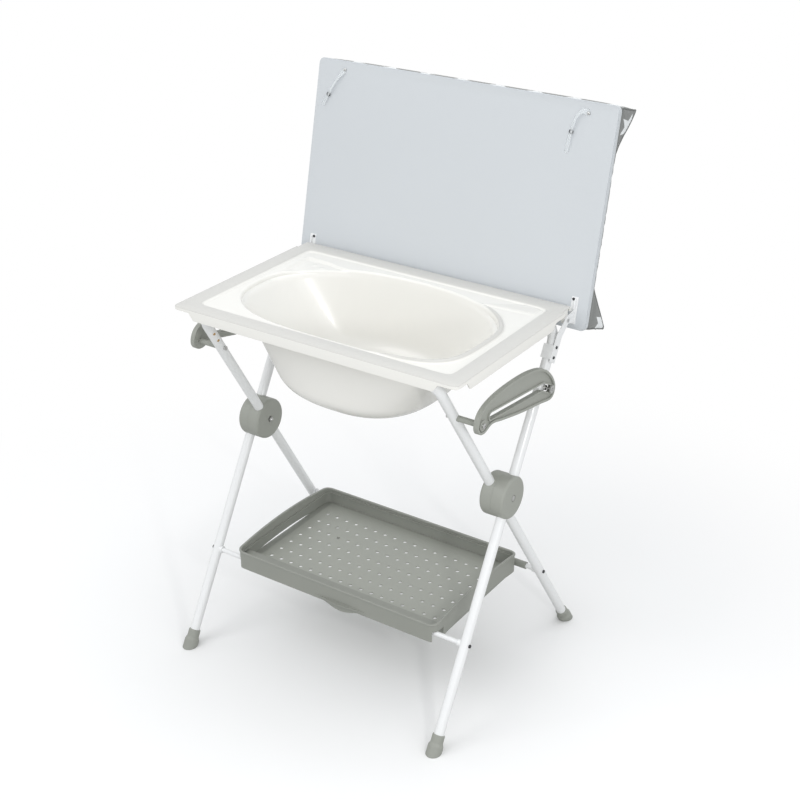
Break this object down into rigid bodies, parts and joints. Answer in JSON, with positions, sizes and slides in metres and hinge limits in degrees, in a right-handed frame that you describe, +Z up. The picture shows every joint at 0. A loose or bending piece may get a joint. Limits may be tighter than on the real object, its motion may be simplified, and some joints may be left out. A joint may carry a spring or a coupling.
{
  "type": "baby bath stand",
  "caption": "Folding cross-leg stand with a moulded baby bath, a hinged padded changing board that closes over it, slotted stay links and a perforated storage tray.",
  "frame": {"origin": "on the floor under the middle of the whole outline, with the changing board open", "axes": "+X along the tub towards its right end, +Y from the front to the raised board at the back, +Z up"},
  "size_m": [0.86, 0.8104, 1.4202],
  "materials": {
    "frame_paint": "gloss white powder coat on steel tube",
    "bracket_paint": "gloss white painted sheet",
    "grey_plastic": "fine-grained grey moulding",
    "foot_plastic": "grey soft plastic",
    "tray_plastic": "satin grey moulding",
    "tub_plastic": "gloss warm white moulding",
    "white_plastic": "satin white moulding",
    "board_laminate": "cool white laminate",
    "star_fabric": "grey coated fabric with white stars",
    "clear_strap": "clear soft band",
    "brass": "plated rivet",
    "dark_screws": "blackened screws",
    "bright_steel": "zinc plated"
  },
  "bodies": {
    "outer_frame": {"outer_frame_tube": "frame_paint", "front_cross_tube": "frame_paint", "front_cross_screws": "dark_screws", "foot_front_left": "foot_plastic", "foot_front_right": "foot_plastic", "hub_outer_left": "grey_plastic", "hub_outer_right": "grey_plastic", "hub_bolt_left": "bright_steel", "hub_bolt_right": "bright_steel", "slot_pin_left": "bright_steel", "slot_pin_right": "bright_steel", "hinge_bracket_left": "bracket_paint", "hinge_bracket_right": "bracket_paint", "bracket_screws": "dark_screws", "hinge_pin_left": "bright_steel", "hinge_pin_right": "bright_steel"},
    "inner_frame": {"inner_leg_left": "frame_paint", "inner_leg_right": "frame_paint", "tube_plug_left": "foot_plastic", "tube_plug_right": "foot_plastic", "leg_rivets": "brass", "rear_cross_tube": "frame_paint", "rear_cross_screws": "dark_screws", "foot_rear_left": "foot_plastic", "foot_rear_right": "foot_plastic", "hub_inner_left": "grey_plastic", "hub_inner_right": "grey_plastic", "link_bush_left": "grey_plastic", "link_bush_right": "grey_plastic", "link_bolt_left": "bright_steel", "link_bolt_right": "bright_steel"},
    "stay_link_left": {"stay_link_left": "grey_plastic"},
    "stay_link_right": {"stay_link_right": "grey_plastic"},
    "tub": {"tub": "tub_plastic", "drain_outlet": "white_plastic", "drain_plug": "white_plastic"},
    "board": {"board_panel": "board_laminate", "mattress": "star_fabric", "hinge_leaf_left": "bracket_paint", "hinge_leaf_right": "bracket_paint", "leaf_screws": "dark_screws", "strap_left": "clear_strap", "strap_right": "clear_strap", "strap_screws": "bright_steel", "strap_snaps": "bright_steel"},
    "tray": {"tray": "tray_plastic"}
  },
  "joints": [
    {"name": "fold", "type": "hinge", "parent": "outer_frame", "child": "inner_frame", "pos_m": [0, -0.06884, 0.556], "axis": [-1, 0, 0], "range_deg": [0, 36]},
    {"name": "link_left_turn", "type": "hinge", "parent": "inner_frame", "child": "stay_link_left", "pos_m": [-0.408, -0.24448, 0.83064], "axis": [1, 0, 0], "range_deg": [0, 2]},
    {"name": "link_right_turn", "type": "hinge", "parent": "inner_frame", "child": "stay_link_right", "pos_m": [0.408, -0.24448, 0.83064], "axis": [1, 0, 0], "range_deg": [0, 2]},
    {"name": "tub_tilt", "type": "hinge", "parent": "outer_frame", "child": "tub", "pos_m": [0, 0.16616, 0.931], "axis": [-1, 0, 0], "range_deg": [0, 62]},
    {"name": "tray_tilt", "type": "hinge", "parent": "inner_frame", "child": "tray", "pos_m": [0, 0.1409, 0.22803], "axis": [-1, 0, 0], "range_deg": [0, 46]},
    {"name": "board_close", "type": "hinge", "parent": "tub", "child": "board", "pos_m": [0, 0.16616, 0.931], "axis": [1, 0, 0], "range_deg": [0, 102.2]}
  ],
  "couplings": [
    {"joint": "tub_tilt", "follows": "fold", "ratio": 1.7},
    {"joint": "tray_tilt", "follows": "fold", "ratio": 1.25},
    {"joint": "link_left_turn", "follows": "fold", "ratio": 0.03},
    {"joint": "link_right_turn", "follows": "fold", "ratio": 0.03}
  ]
}
